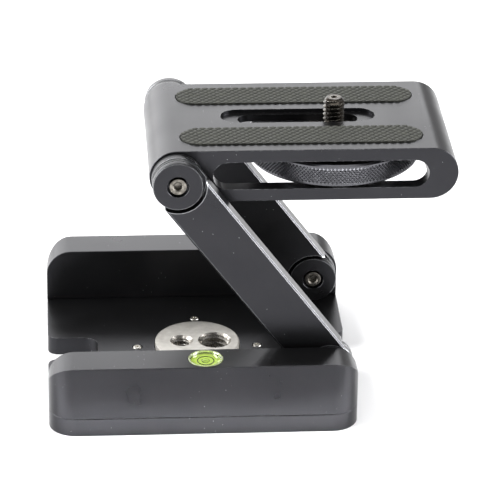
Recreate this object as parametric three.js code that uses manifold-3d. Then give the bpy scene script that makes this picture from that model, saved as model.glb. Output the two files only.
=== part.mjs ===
// Flexible tilt head. Two arms lift a slotted camera plate out of a channel-shaped base and fold flat into it.
// Millimetres, +Z up. The origin is the middle of the base's underside, and +X runs towards the lower hinges.
// Each turning piece is drawn folded flat and turned by its group to the angle at which the head stands.
import * as THREE from "three";
import { mergeVertices } from "three/addons/utils/BufferGeometryUtils.js";
import Module from "manifold-3d";

const wasm = await Module();
wasm.setup();

// Pose at which the head stands, in degrees from folded flat
const armAngle = 52.9;
const plateAngle = -armAngle;

// Clearances between pieces
const fit = 0.3;
const nestClearance = 0.8;
const wheelClearance = 0.8;
const screwHeadFit = 0.45;

// Base
const baseLength = 92;
const floorThickness = 5.7;
const railThickness = 11.5;
const cornerRadius = 8;
const railTopRadius = 7.7;
const edgeBevel = 0.15;
const notchWidth = 13.6;
const notchDepth = 15.4;
const notchInnerRadius = 4.4;
const notchMouthRadius = 3;

// Camera plate
const plateHeight = 16.2;
const plateWidth = 50.2;
const plateReach = 74.5;
const topWall = 3.3;
const cheekThickness = 4.6;
const windowLength = 63.5;
const windowHeight = 8.6;
const windowStart = 10.5;
const noseWall = 6.8;
const pocketFrontRadius = 3;
const pocketBackRadius = 10.5;
const slotLength = 36.1;
const slotWidth = 7;
const slotStart = 19;
const recessLength = 46.2;
const recessWidth = 10;
const recessDepth = 1.2;
const padLength = 71.4;
const padWidth = 11.6;
const padThickness = 1.5;
const padSink = 1;
const padInset = 4.4;
const padBevel = 0.5;

// Arms
const armLength = 75.4;
const armWidth = 15;
const armThickness = 6;
const sideGap = 1.2;
const armBevel = 0.5;
const knuckleThickness = 2.9;
const discGap = 1;

// Hinge discs, washers and pivot screws
const discThickness = 2.2;
const discBevel = 0.5;
const discInset = 0.1;
const hubRadius = 3.9;
const washerThickness = 1.2;
const screwRadius = 1.5;
const screwHeadRadius = 2.65;
const screwHeadHeight = 1.6;
const screwHeadSink = 0.2;
const screwHeadBevel = 0.25;
const screwBite = 7;
const socketRadius = 1.45;
const socketDepth = 1;
const holeSpare = 1;

// Tripod insert and its screws
const insertRadius = 13;
const insertRise = 2;
const insertBevel = 0.5;
const flangeRadius = 21.5;
const flangeThickness = 2.4;
const smallThreadRadius = 3.2;
const smallMouthRadius = 3.6;
const smallThreadPlace = -4.85;
const largeThreadRadius = 4.8;
const largeMouthRadius = 5.15;
const largeThreadPlace = 5.35;
const underMouthBevel = 0.2;
const insertScrewCircle = 18.5;
const insertScrewRadius = 0.85;
const insertScrewHeadRadius = 1.35;
const insertScrewHeadHeight = 0.8;
const insertScrewRise = 0.25;
const insertScrewBite = 1.8;
const insertScrewSocketRadius = 0.6;
const insertScrewSocketDepth = 0.45;

// Screws that hold the rails from below
const railScrewSpacing = 32;
const railScrewHeadRadius = 2.9;
const railScrewSink = 0.3;
const railScrewLength = 13.5;

// Bubble level in the front rail
const levelPlace = 0.4;
const levelRadius = 5.15;
const levelFit = 0.15;
const levelWall = 0.8;
const levelDepth = 5.8;
const levelRise = 0.2;
const levelFloor = 0.8;
const levelFluidHeight = 2.8;

// Knurled wheel, camera stud and clamp washer
const wheelRadius = 26;
const wheelThickness = 7;
const wheelBevel = 0.6;
const wheelPlace = 47.84;
const wheelWebSink = 1;
const wheelRimWidth = 4;
const studRadius = 3.17;
const studRise = 5.85;
const studBevel = 0.7;
const studHeadRadius = 5;
const studHeadHeight = 2.2;
const studSocketRadius = 2.4;
const studSocketDepth = 1.5;
const clampWasherRadius = 8;
const clampWasherThickness = 1.2;

// Smoothness of round forms, as steps to a full turn, and the overrun of every cutting tool
const fineSteps = 56;
const roundSteps = 30;
const smallSteps = 12;
const hexSteps = 6;
const overrun = 1;

// Sizes that follow from the driving ones
const plateRadius = plateHeight / 2;
const axisHeight = floorThickness + nestClearance + plateRadius;
const railTop = axisHeight + railTopRadius;
const lowerAxisPlace = baseLength / 2 - plateRadius;
const armInner = plateWidth / 2 + sideGap;
const armOuter = armInner + armThickness;
const railInner = armOuter + sideGap;
const baseWidth = 2 * (railInner + railThickness);
const railMiddle = railInner + railThickness / 2;
const hubLength = armThickness + sideGap - fit;
const discRadius = armWidth / 2 - discInset;
const hubBore = hubRadius + fit;
const ceiling = plateRadius - topWall;
const wheelTop = ceiling - 2 * fit - clampWasherThickness;
const wheelBottom = wheelTop - wheelThickness;
const pocketHalfWidth = plateWidth / 2 - cheekThickness;
const padPlace = plateWidth / 2 - padInset - padWidth / 2;

const finishes = {
  anodised: { color: 0x1b1c1e, roughness: 0.42, metalness: 0.85 },
  steel: { color: 0xb9b6b0, roughness: 0.32, metalness: 1 },
  darkSteel: { color: 0x6e6961, roughness: 0.38, metalness: 1 },
  rubber: { color: 0x5c5d58, roughness: 0.85, metalness: 0 },
  polymer: { color: 0x2a2b2c, roughness: 0.6, metalness: 0 },
  acrylic: { color: 0xe6efd8, roughness: 0.08, metalness: 0 },
  fluid: { color: 0xc6de5a, roughness: 0.1, metalness: 0 },
};

// Closed solids from triangle geometry, and back

function signedVolume(geometry) {
  const places = geometry.getAttribute("position");
  const corner = [new THREE.Vector3(), new THREE.Vector3(), new THREE.Vector3()];
  let volume = 0;
  for (let at = 0; at < geometry.index.count; at += 3) {
    corner.forEach((point, side) => point.fromBufferAttribute(places, geometry.index.getX(at + side)));
    volume += corner[0].dot(corner[1].cross(corner[2])) / 6;
  }
  return volume;
}

function solid(geometry) {
  const bare = geometry.clone();
  bare.deleteAttribute("normal");
  bare.deleteAttribute("uv");
  const merged = mergeVertices(bare);
  const triVerts = Uint32Array.from(merged.index.array);
  if (signedVolume(merged) < 0) {
    for (let at = 0; at < triVerts.length; at += 3) {
      [triVerts[at], triVerts[at + 1]] = [triVerts[at + 1], triVerts[at]];
    }
  }
  const vertProperties = Float32Array.from(merged.getAttribute("position").array);
  return new wasm.Manifold(new wasm.Mesh({ numProp: 3, vertProperties, triVerts }));
}

function cut(body, tools) {
  return tools.reduce((rest, tool) => rest.subtract(tool), body);
}

function join(body, pieces) {
  return pieces.reduce((sum, piece) => sum.add(piece), body);
}

function geometryOf(body) {
  const mesh = body.getMesh();
  const geometry = new THREE.BufferGeometry();
  geometry.setAttribute("position", new THREE.BufferAttribute(Float32Array.from(mesh.vertProperties), 3));
  geometry.setIndex(new THREE.BufferAttribute(Uint32Array.from(mesh.triVerts), 1));
  geometry.computeVertexNormals();
  return geometry;
}

function addPiece(parent, name, body, finish) {
  const mesh = new THREE.Mesh(geometryOf(body), new THREE.MeshStandardMaterial(finishes[finish]));
  mesh.name = name;
  parent.add(mesh);
  return mesh;
}

// Outlines

function arc(x, y, radius, from, to, steps = roundSteps) {
  const turn = THREE.MathUtils.degToRad(to - from);
  const count = Math.max(2, Math.round((Math.abs(turn) / (2 * Math.PI)) * steps));
  const start = THREE.MathUtils.degToRad(from);
  return Array.from({ length: count + 1 }, (_, step) => {
    const angle = start + (turn * step) / count;
    return new THREE.Vector2(x + radius * Math.cos(angle), y + radius * Math.sin(angle));
  });
}

function stadium(fromX, toX, y, radius, steps = roundSteps) {
  return [...arc(fromX, y, radius, 90, 270, steps), ...arc(toX, y, radius, -90, 90, steps)];
}

function roundedBase(halfLength, halfWidth, radius) {
  const x = halfLength - radius;
  const y = halfWidth - radius;
  return [
    ...arc(x, -y, radius, -90, 0),
    ...arc(x, y, radius, 0, 90),
    ...arc(-x, y, radius, 90, 180),
    ...arc(-x, -y, radius, 180, 270),
  ];
}

// Extrusions, along Z or across the head along Y, with the outline kept at its full size under a bevel

function extrude(outline, from, to, bevel = 0, turnToSide = false) {
  const geometry = new THREE.ExtrudeGeometry(new THREE.Shape(outline), {
    depth: to - from - 2 * bevel,
    bevelEnabled: bevel > 0,
    bevelThickness: bevel,
    bevelSize: bevel,
    bevelOffset: -bevel,
    bevelSegments: 1,
    steps: 1,
  });
  geometry.translate(0, 0, from + bevel);
  if (turnToSide) {
    geometry.translate(0, 0, -from - to);
    geometry.rotateX(Math.PI / 2);
  }
  return solid(geometry);
}

function sideways(outline, from, to, bevel = 0) {
  return extrude(outline, from, to, bevel, true);
}

// Turned forms. The profile holds radius and height pairs, closed on itself or on the axis.

function turned(profile, steps = roundSteps) {
  const points = profile.map(([radius, height]) => new THREE.Vector2(radius, height));
  if (profile[0][0] > 0 || profile.at(-1)[0] > 0) {
    points.push(points[0].clone());
  }
  return new THREE.LatheGeometry(points, steps);
}

function upright(profile, x = 0, y = 0, z = 0, steps = roundSteps) {
  const geometry = turned(profile, steps);
  geometry.rotateX(Math.PI / 2);
  geometry.translate(x, y, z);
  return solid(geometry);
}

function across(profile, x, y, z, direction = 1, steps = roundSteps) {
  const geometry = turned(profile, steps);
  if (direction < 0) {
    geometry.rotateX(Math.PI);
  }
  geometry.translate(x, y, z);
  return solid(geometry);
}

function rod(radius, from, to) {
  return [[0, from], [radius, from], [radius, to], [0, to]];
}

function ring(inner, outer, from, to, bevel = 0) {
  return [
    [inner, from],
    [outer - bevel, from],
    [outer, from + bevel],
    [outer, to - bevel],
    [outer - bevel, to],
    [inner, to],
  ];
}

// Base plate with an open notch in the middle of each end

function basePlate() {
  const halfNotch = notchWidth / 2;
  const end = baseLength / 2;
  const inner = end - notchDepth + notchInnerRadius;
  const mouth = end - notchMouthRadius;
  const mouthSide = halfNotch + notchMouthRadius;
  const innerSide = halfNotch - notchInnerRadius;
  const notch = [
    new THREE.Vector2(end + overrun, -mouthSide),
    new THREE.Vector2(end + overrun, mouthSide),
    ...arc(mouth, mouthSide, notchMouthRadius, 0, -90, smallSteps),
    ...arc(inner, innerSide, notchInnerRadius, 90, 180),
    ...arc(inner, -innerSide, notchInnerRadius, 180, 270),
    ...arc(mouth, -mouthSide, notchMouthRadius, 90, 0, smallSteps),
  ];
  const otherNotch = notch.map((point) => new THREE.Vector2(-point.x, -point.y));
  const outline = roundedBase(baseLength / 2, baseWidth / 2, cornerRadius);
  const tools = [notch, otherNotch].map((shape) => extrude(shape, -overrun, floorThickness + overrun));
  tools.push(upright(rod(insertRadius + fit, -overrun, floorThickness + overrun), 0, 0, 0, fineSteps));
  tools.push(upright(rod(flangeRadius + fit, -overrun, flangeThickness + fit), 0, 0, 0, fineSteps));
  const headSeat = floorThickness + insertScrewRise - insertScrewHeadHeight - fit;
  for (const [x, y] of insertScrewPlaces()) {
    tools.push(upright(rod(insertScrewRadius + fit, 0, floorThickness), x, y, 0, smallSteps));
    tools.push(upright(rod(insertScrewHeadRadius + fit, headSeat, floorThickness + overrun), x, y, 0, smallSteps));
  }
  for (const [x, y] of railScrewPlaces()) {
    tools.push(upright(railScrewProfile(fit), x, y, 0, smallSteps));
  }
  return cut(extrude(outline, 0, floorThickness, edgeBevel), tools);
}

// Rails, rounded at the top of both ends and at the base's corners

function rail(side) {
  const end = baseLength / 2 - railTopRadius;
  const profile = [
    new THREE.Vector2(-baseLength / 2, floorThickness),
    new THREE.Vector2(baseLength / 2, floorThickness),
    ...arc(end, axisHeight, railTopRadius, 0, 90),
    ...arc(-end, axisHeight, railTopRadius, 90, 180),
  ];
  const from = side > 0 ? railInner : -railInner - railThickness;
  const bar = sideways(profile, from, from + railThickness, edgeBevel);
  const plan = extrude(roundedBase(baseLength / 2, baseWidth / 2, cornerRadius), 0, railTop + overrun);
  const tools = [];
  for (const [x, y] of railScrewPlaces().filter((place) => place[1] * side > 0)) {
    tools.push(upright(rod(screwRadius + fit, 0, railScrewSink + railScrewLength + holeSpare), x, y, 0, smallSteps));
  }
  const threadHole = rod(screwRadius + fit, -overrun, screwBite + holeSpare);
  tools.push(across(threadHole, lowerAxisPlace, side * railInner, axisHeight, side, smallSteps));
  if (side < 0) {
    const bore = rod(levelRadius + levelFit, railTop + levelRise - levelDepth - fit, railTop + overrun);
    tools.push(upright(bore, levelPlace, -railMiddle, 0));
  }
  return cut(bar.intersect(plan), tools);
}

function railScrewPlaces() {
  return [-1, 1].flatMap((side) => [-1, 0, 1].map((step) => [step * railScrewSpacing, side * railMiddle]));
}

function railScrewProfile(spare) {
  const head = railScrewHeadRadius + spare;
  const shank = screwRadius + spare;
  const seat = railScrewSink + railScrewHeadRadius - screwRadius;
  const start = spare > 0 ? -overrun : railScrewSink;
  const end = railScrewSink + railScrewLength;
  return [[0, start], [head, start], [head, railScrewSink], [shank, seat], [shank, end], [0, end]];
}

function railScrew(x, y) {
  const socket = upright(rod(socketRadius, 0, railScrewSink + socketDepth), x, y, 0, hexSteps);
  return cut(upright(railScrewProfile(0), x, y, 0, smallSteps), [socket]);
}

// Tripod insert: a steel boss on a flange, with a small and a large threaded hole

function threadedHole(threadRadius, mouthRadius, place, top) {
  const underMouth = threadRadius + underMouthBevel;
  const lead = mouthRadius - threadRadius;
  const profile = [
    [0, -overrun],
    [underMouth, -overrun],
    [underMouth, 0],
    [threadRadius, underMouthBevel],
    [threadRadius, top - lead],
    [mouthRadius, top],
    [mouthRadius, top + overrun],
    [0, top + overrun],
  ];
  return upright(profile, place, 0, 0);
}

function tripodInsert() {
  const top = floorThickness + insertRise;
  const profile = [
    [0, 0],
    [flangeRadius, 0],
    [flangeRadius, flangeThickness],
    [insertRadius, flangeThickness],
    [insertRadius, top - insertBevel],
    [insertRadius - insertBevel, top],
    [0, top],
  ];
  const tools = [
    threadedHole(smallThreadRadius, smallMouthRadius, smallThreadPlace, top),
    threadedHole(largeThreadRadius, largeMouthRadius, largeThreadPlace, top),
  ];
  for (const [x, y] of insertScrewPlaces()) {
    tools.push(upright(rod(insertScrewRadius + fit, -overrun, floorThickness), x, y, 0, smallSteps));
  }
  return cut(upright(profile, 0, 0, 0, fineSteps), tools);
}

function insertScrewPlaces() {
  return [[1, 0], [0, 1], [-1, 0], [0, -1]].map(([x, y]) => [x * insertScrewCircle, y * insertScrewCircle]);
}

function insertScrew(x, y) {
  const top = floorThickness + insertScrewRise;
  const seat = top - insertScrewHeadHeight;
  const tip = flangeThickness - insertScrewBite;
  const profile = [
    [0, tip],
    [insertScrewRadius, tip],
    [insertScrewRadius, seat],
    [insertScrewHeadRadius, seat],
    [insertScrewHeadRadius, top - insertScrewRise],
    [insertScrewHeadRadius - insertScrewRise, top],
    [0, top],
  ];
  const socketFloor = top - insertScrewSocketDepth;
  const socket = upright(rod(insertScrewSocketRadius, socketFloor, top + overrun), x, y, 0, hexSteps);
  return cut(upright(profile, x, y, 0, smallSteps), [socket]);
}

// Bubble level: a cup, the fluid in it and a clear lens

function levelCup() {
  const bottom = railTop + levelRise - levelDepth;
  const inner = levelRadius - levelWall;
  const outside = upright(rod(levelRadius, bottom, bottom + levelDepth), levelPlace, -railMiddle, 0);
  const inside = rod(inner, bottom + levelFloor, railTop + overrun);
  return cut(outside, [upright(inside, levelPlace, -railMiddle, 0)]);
}

function levelFilling(from, to) {
  const radius = levelRadius - levelWall - fit;
  return upright(rod(radius, from, to), levelPlace, -railMiddle, 0);
}

// Arms: the knuckle is lapped inside at the upper hinge and outside at the lower one

function arm(side) {
  const radius = armWidth / 2;
  const from = side > 0 ? armInner : -armOuter;
  const link = sideways(stadium(-armLength, 0, 0, radius), from, from + armThickness, armBevel);
  const lapDepth = armThickness + sideGap - fit - knuckleThickness;
  const lap = rod(discRadius + discGap, -overrun, lapDepth);
  const boss = rod(radius, 0, sideGap - fit + armBevel);
  const bore = rod(hubBore, -railInner, railInner);
  const bodies = join(link, [
    across(boss, -armLength, side * (armInner + armBevel), 0, -side, fineSteps),
    across(boss, 0, side * (armOuter - armBevel), 0, side, fineSteps),
  ]);
  return cut(bodies, [
    across(lap, -armLength, side * armOuter, 0, -side, fineSteps),
    across(lap, 0, side * armInner, 0, side, fineSteps),
    across(bore, -armLength, 0, 0),
    across(bore, 0, 0, 0),
  ]);
}

// Hinge disc with the hub that the arm turns on, its friction washer and its pivot screw.
// All three are drawn from the disc's open face at zero towards the piece they are screwed to.

function hingeDisc() {
  const headBore = screwHeadRadius + screwHeadFit;
  const headSeat = screwHeadSink + screwHeadHeight + fit;
  const hole = screwRadius + fit;
  return [
    [hole, headSeat],
    [headBore, headSeat],
    [headBore, 0],
    [discRadius - discBevel, 0],
    [discRadius, discBevel],
    [discRadius, discThickness],
    [hubRadius, discThickness],
    [hubRadius, hubLength],
    [hole, hubLength],
  ];
}

function pivotScrew(turn) {
  const seat = screwHeadSink + screwHeadHeight;
  const tip = armThickness + sideGap + screwBite;
  const profile = [
    [0, screwHeadSink],
    [screwHeadRadius - screwHeadBevel, screwHeadSink],
    [screwHeadRadius, screwHeadSink + screwHeadBevel],
    [screwHeadRadius, seat],
    [screwRadius, seat],
    [screwRadius, tip],
    [0, tip],
  ];
  const socket = across(rod(socketRadius, -overrun, screwHeadSink + socketDepth), 0, 0, 0, 1, hexSteps);
  return cut(across(profile, 0, 0, 0, 1, turn), [socket]);
}

function addHinge(parent, label, x, z, faceY, direction) {
  const washerFrom = discThickness + fit;
  const washer = ring(hubBore, discRadius, washerFrom, washerFrom + washerThickness);
  const pieces = [
    addPiece(parent, `${label}_hinge_disc`, across(hingeDisc(), 0, 0, 0), "anodised"),
    addPiece(parent, `${label}_hinge_washer`, across(washer, 0, 0, 0), "polymer"),
    addPiece(parent, `${label}_pivot_screw`, pivotScrew(smallSteps), "darkSteel"),
  ];
  for (const piece of pieces) {
    piece.position.set(x, faceY, z);
    piece.rotation.x = direction > 0 ? 0 : Math.PI;
  }
}

// Camera plate: a round-ended shell, open below, with windows in its cheeks and a slot for the camera stud

// The pocket ends at the nose, and behind the wheel's furthest place back, where its corners pass the pivot screws.
function pocket() {
  const wheelReach = wheelRadius - Math.sqrt(wheelRadius ** 2 - pocketHalfWidth ** 2);
  const front = plateReach + plateRadius - noseWall - pocketFrontRadius;
  const back = windowStart - wheelReach - wheelClearance + pocketBackRadius;
  const frontSide = pocketHalfWidth - pocketFrontRadius;
  const backSide = pocketHalfWidth - pocketBackRadius;
  const outline = [
    ...arc(front, -frontSide, pocketFrontRadius, -90, 0),
    ...arc(front, frontSide, pocketFrontRadius, 0, 90),
    ...arc(back, backSide, pocketBackRadius, 90, 180),
    ...arc(back, -backSide, pocketBackRadius, 180, 270),
  ];
  return extrude(outline, -plateRadius - overrun, ceiling);
}

function cameraPlate() {
  const half = plateWidth / 2;
  const shell = sideways(stadium(0, plateReach, 0, plateRadius, fineSteps), -half, half, edgeBevel);
  const windowRadius = windowHeight / 2;
  const windowEnd = windowStart + windowLength;
  const windowOutline = stadium(windowStart + windowRadius, windowEnd - windowRadius, 0, windowRadius);
  const slotRadius = slotWidth / 2;
  const slotOutline = stadium(slotStart + slotRadius, slotStart + slotLength - slotRadius, 0, slotRadius, smallSteps);
  const recessStart = slotStart + (slotLength - recessLength) / 2;
  const recessRadius = recessWidth / 2;
  const recessEnd = recessStart + recessLength;
  const recessOutline = stadium(recessStart + recessRadius, recessEnd - recessRadius, 0, recessRadius);
  const tools = [
    pocket(),
    sideways(windowOutline, -half - overrun, half + overrun),
    extrude(slotOutline, 0, plateRadius + overrun),
    extrude(recessOutline, plateRadius - recessDepth, plateRadius + overrun),
  ];
  for (const side of [-1, 1]) {
    const hole = rod(screwRadius + fit, -overrun, screwBite + holeSpare);
    tools.push(across(hole, 0, side * half, 0, -side, smallSteps));
    tools.push(extrude(padOutline(side, fit), plateRadius - padSink, plateRadius + overrun));
  }
  return cut(shell, tools);
}

function padOutline(side, spare) {
  const radius = padWidth / 2 + spare;
  const middle = slotStart + slotLength / 2;
  const reach = (padLength - padWidth) / 2;
  return stadium(middle - reach, middle + reach, side * padPlace, radius);
}

function gripPad(side) {
  const bottom = plateRadius - padSink;
  return extrude(padOutline(side, 0), bottom, bottom + padThickness, padBevel);
}

// Wheel, stud and clamp washer, drawn round the stud's own axis

function knurledWheel() {
  const bore = studRadius + fit;
  const seat = wheelBottom + fit + studHeadHeight;
  const headBore = studHeadRadius + fit;
  const webEdge = wheelRadius - wheelRimWidth;
  const web = wheelBottom + wheelWebSink;
  return [
    [bore, seat],
    [headBore, seat],
    [headBore, web],
    [webEdge - wheelWebSink, web],
    [webEdge, wheelBottom],
    [wheelRadius - wheelBevel, wheelBottom],
    [wheelRadius, wheelBottom + wheelBevel],
    [wheelRadius, wheelTop - wheelBevel],
    [wheelRadius - wheelBevel, wheelTop],
    [bore, wheelTop],
  ];
}

function cameraStud() {
  const bottom = wheelBottom;
  const seat = bottom + studHeadHeight;
  const top = plateRadius + studRise;
  const profile = [
    [0, bottom],
    [studHeadRadius, bottom],
    [studHeadRadius, seat],
    [studRadius, seat],
    [studRadius, top - studBevel],
    [studRadius - studBevel, top],
    [0, top],
  ];
  const socket = upright(rod(studSocketRadius, bottom - overrun, bottom + studSocketDepth), 0, 0, 0, hexSteps);
  return cut(upright(profile), [socket]);
}

function clampWasher() {
  const from = wheelTop + fit;
  return ring(studRadius + fit, clampWasherRadius, from, from + clampWasherThickness);
}

// The assembly

const head = new THREE.Group();

function addBase() {
  addPiece(head, "base_plate", basePlate(), "anodised");
  addPiece(head, "front_rail", rail(-1), "anodised");
  addPiece(head, "rear_rail", rail(1), "anodised");
  addPiece(head, "tripod_insert", tripodInsert(), "steel");
  insertScrewPlaces().forEach(([x, y], count) => {
    addPiece(head, `insert_screw_${count + 1}`, insertScrew(x, y), "steel");
  });
  railScrewPlaces().forEach(([x, y], count) => {
    addPiece(head, `rail_screw_${count + 1}`, railScrew(x, y), "darkSteel");
  });
  const fluidFrom = railTop + levelRise - levelDepth + levelFloor + fit;
  const lensFrom = fluidFrom + levelFluidHeight + fit;
  addPiece(head, "level_cup", levelCup(), "acrylic");
  addPiece(head, "level_fluid", levelFilling(fluidFrom, fluidFrom + levelFluidHeight), "fluid");
  addPiece(head, "level_lens", levelFilling(lensFrom, railTop + levelRise), "acrylic");
  addHinge(head, "lower_front", lowerAxisPlace, axisHeight, -armInner, -1);
  addHinge(head, "lower_rear", lowerAxisPlace, axisHeight, armInner, 1);
}

function addArms() {
  const arms = new THREE.Group();
  arms.position.set(lowerAxisPlace, 0, axisHeight);
  arms.rotation.y = THREE.MathUtils.degToRad(armAngle);
  addPiece(arms, "front_arm", arm(-1), "anodised");
  addPiece(arms, "rear_arm", arm(1), "anodised");
  head.add(arms);
  return arms;
}

function addPlate(arms) {
  const plate = new THREE.Group();
  plate.position.set(-armLength, 0, 0);
  plate.rotation.y = THREE.MathUtils.degToRad(plateAngle);
  addPiece(plate, "camera_plate", cameraPlate(), "anodised");
  addPiece(plate, "front_grip_pad", gripPad(-1), "rubber");
  addPiece(plate, "rear_grip_pad", gripPad(1), "rubber");
  addHinge(plate, "upper_front", 0, 0, -armOuter, 1);
  addHinge(plate, "upper_rear", 0, 0, armOuter, -1);
  arms.add(plate);
  return plate;
}

function addThumbscrew(plate) {
  const thumbscrew = new THREE.Group();
  thumbscrew.position.set(wheelPlace, 0, 0);
  addPiece(thumbscrew, "clamp_washer", upright(clampWasher()), "steel");
  addPiece(thumbscrew, "knurled_wheel", upright(knurledWheel(), 0, 0, 0, fineSteps), "anodised");
  addPiece(thumbscrew, "camera_stud", cameraStud(), "darkSteel");
  plate.add(thumbscrew);
}

addBase();
addThumbscrew(addPlate(addArms()));

export default head;
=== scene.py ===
import math

import bmesh
import bpy
from mathutils import Matrix, Vector


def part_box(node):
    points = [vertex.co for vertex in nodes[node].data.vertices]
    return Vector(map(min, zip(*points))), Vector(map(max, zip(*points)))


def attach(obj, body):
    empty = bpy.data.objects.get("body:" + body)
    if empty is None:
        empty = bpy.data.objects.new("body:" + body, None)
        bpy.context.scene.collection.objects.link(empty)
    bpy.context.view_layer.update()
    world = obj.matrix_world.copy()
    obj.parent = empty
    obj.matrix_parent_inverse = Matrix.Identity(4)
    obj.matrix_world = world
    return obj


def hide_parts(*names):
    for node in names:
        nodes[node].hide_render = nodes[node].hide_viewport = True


# Folding tilt head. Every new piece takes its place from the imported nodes, in metres.
# The dictionaries beside the pieces hold sizes in millimetres, and shares of them where a name says so.
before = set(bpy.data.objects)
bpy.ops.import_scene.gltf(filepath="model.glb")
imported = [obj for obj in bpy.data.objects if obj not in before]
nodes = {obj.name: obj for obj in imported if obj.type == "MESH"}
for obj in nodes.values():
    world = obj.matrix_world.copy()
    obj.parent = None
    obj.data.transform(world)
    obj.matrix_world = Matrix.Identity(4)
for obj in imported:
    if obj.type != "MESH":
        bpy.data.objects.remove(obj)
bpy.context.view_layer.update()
mm = 0.001
sameCorner = 0.0001    # mm; corners that lie closer than this are one
cutterRise = 1.0       # mm; how far a cutter stands out of the face that it opens
print("frame loaded:", len(nodes), "nodes")


# Working in edit mode

def startFresh():
    if bpy.context.object and bpy.context.object.mode != "OBJECT":
        bpy.ops.object.mode_set(mode="OBJECT")
    bpy.ops.object.select_all(action="DESELECT")


def choose(*pieces):
    startFresh()
    for piece in pieces:
        piece.select_set(True)
    bpy.context.view_layer.objects.active = pieces[0]


def justAdded(name):
    piece = bpy.context.object
    piece.name = name
    piece.data.name = name
    return piece


def openAll(piece):
    choose(piece)
    bpy.ops.object.mode_set(mode="EDIT")
    bpy.ops.mesh.select_all(action="SELECT")


# selects the vertices, edges or faces that pass a test of their place or normal
def pick(piece, kind, test):
    bpy.ops.mesh.select_mode(type=kind)
    bpy.ops.mesh.select_all(action="DESELECT")
    mesh = bmesh.from_edit_mesh(piece.data)
    for part in {"VERT": mesh.verts, "EDGE": mesh.edges, "FACE": mesh.faces}[kind]:
        if test(part):
            part.select_set(True)
    bmesh.update_edit_mesh(piece.data)


# turns all faces of the open piece outwards and leaves edit mode
def closeOutwards():
    bpy.ops.mesh.select_all(action="SELECT")
    bpy.ops.mesh.normals_make_consistent(inside=False)
    bpy.ops.object.mode_set(mode="OBJECT")


def applyModifier(piece, name, kind, **settings):
    choose(piece)
    modifier = piece.modifiers.new(name, kind)
    for setting, value in settings.items():
        setattr(modifier, setting, value)
    bpy.ops.object.modifier_apply(modifier=modifier.name)


# cuts a piece by a tool, or keeps what they share, and uses the tool up
def carve(piece, tool, operation="DIFFERENCE"):
    applyModifier(piece, "carve", "BOOLEAN", operation=operation, object=tool, solver="EXACT")
    bpy.data.objects.remove(tool)
    return piece


def joinInto(piece, others):
    choose(piece, *others)
    bpy.ops.object.join()
    return piece


def copyOf(piece, name):
    twin = piece.copy()
    twin.data = piece.data.copy()
    twin.name = name
    twin.data.name = name
    bpy.context.scene.collection.objects.link(twin)
    return twin


def settle(piece):
    choose(piece)
    bpy.ops.object.transform_apply(location=True, rotation=True, scale=True)
    return piece


# a turned form, raised ring by ring from a circle
# its profile is a list of (radius, height) in mm, and a hollow one closes on itself
def turnPiece(name, profile, sides=72, hollow=False):
    startFresh()
    radius, height = profile[0]
    fill = "NOTHING" if hollow else "NGON"
    bpy.ops.mesh.primitive_circle_add(vertices=sides, radius=radius * mm, fill_type=fill)
    piece = justAdded(name)
    openAll(piece)
    bpy.ops.transform.translate(value=(0, 0, height * mm))
    for nextRadius, nextHeight in profile[1:] + (profile[:1] if hollow else []):
        rise = (nextHeight - height) * mm
        bpy.ops.mesh.extrude_region_move(TRANSFORM_OT_translate={"value": (0, 0, rise)})
        share = nextRadius / radius
        bpy.ops.transform.resize(value=(share, share, 1), center_override=(0, 0, nextHeight * mm))
        radius, height = nextRadius, nextHeight
    bpy.ops.mesh.select_all(action="SELECT")
    bpy.ops.mesh.remove_doubles(threshold=sameCorner * mm)
    closeOutwards()
    return piece


# puts a form drawn up the Z axis at a place, with its top towards +Z, -Z, -Y or +Y
def stand(piece, place, facing="+Z"):
    turns = {"+Z": 0, "-Z": 180, "-Y": 90, "+Y": -90}
    piece.rotation_euler = (math.radians(turns[facing]), 0, 0)
    piece.location = place
    return settle(piece)


def hexTool(radius, depth):
    return turnPiece("hexTool", [(radius, -depth), (radius, cutterRise)], sides=6)


# gives a finished mesh its material, the body it rides on and the nodes it stands for
def finishPiece(piece, body, material, standsFor=(), angle=30, flat=True):
    settle(piece)
    openAll(piece)
    bpy.ops.mesh.remove_doubles(threshold=sameCorner * mm)
    closeOutwards()
    bpy.ops.object.shade_smooth_by_angle(angle=math.radians(angle))
    piece.data.materials.clear()
    piece.data.materials.append(material)
    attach(piece, body)
    for node in standsFor:
        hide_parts(node)
    if flat:
        applyModifier(piece, "flatFaces", "WEIGHTED_NORMAL", keep_sharp=True, weight=100)


def middleOf(node):
    low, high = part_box(node)
    return (low + high) / 2


# the middle of a node's top, or of its underside
def endOf(node, facing="+Z"):
    low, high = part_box(node)
    return Vector(((low.x + high.x) / 2, (low.y + high.y) / 2, high.z if facing == "+Z" else low.z))


# a node's radius and height in mm, for one that stands about the Z axis
def roundSize(node):
    low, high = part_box(node)
    return (high.x - low.x) / 2 / mm, (high.z - low.z) / mm


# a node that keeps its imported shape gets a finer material
def redress(node, material):
    nodes[node].data.materials.clear()
    nodes[node].data.materials.append(material)


# Materials

def linear(colour):
    channels = [int(colour[at:at + 2], 16) / 255 for at in (1, 3, 5)]
    return tuple(c / 12.92 if c <= 0.04045 else ((c + 0.055) / 1.055) ** 2.4 for c in channels) + (1.0,)


# adds a node with its settings and links, and gives back one of its outputs
def addNode(tree, kind, sockets, output=0, **settings):
    node = tree.nodes.new(kind)
    for setting, value in settings.items():
        setattr(node, setting, value)
    for socket, value in sockets.items():
        if isinstance(value, bpy.types.NodeSocket):
            tree.links.new(value, node.inputs[socket])
        else:
            node.inputs[socket].default_value = value
    return node.outputs[output] if node.outputs else None


def newMaterial(name):
    material = bpy.data.materials.new(name)
    material.use_nodes = True
    material.node_tree.nodes.clear()
    return material, material.node_tree


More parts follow.
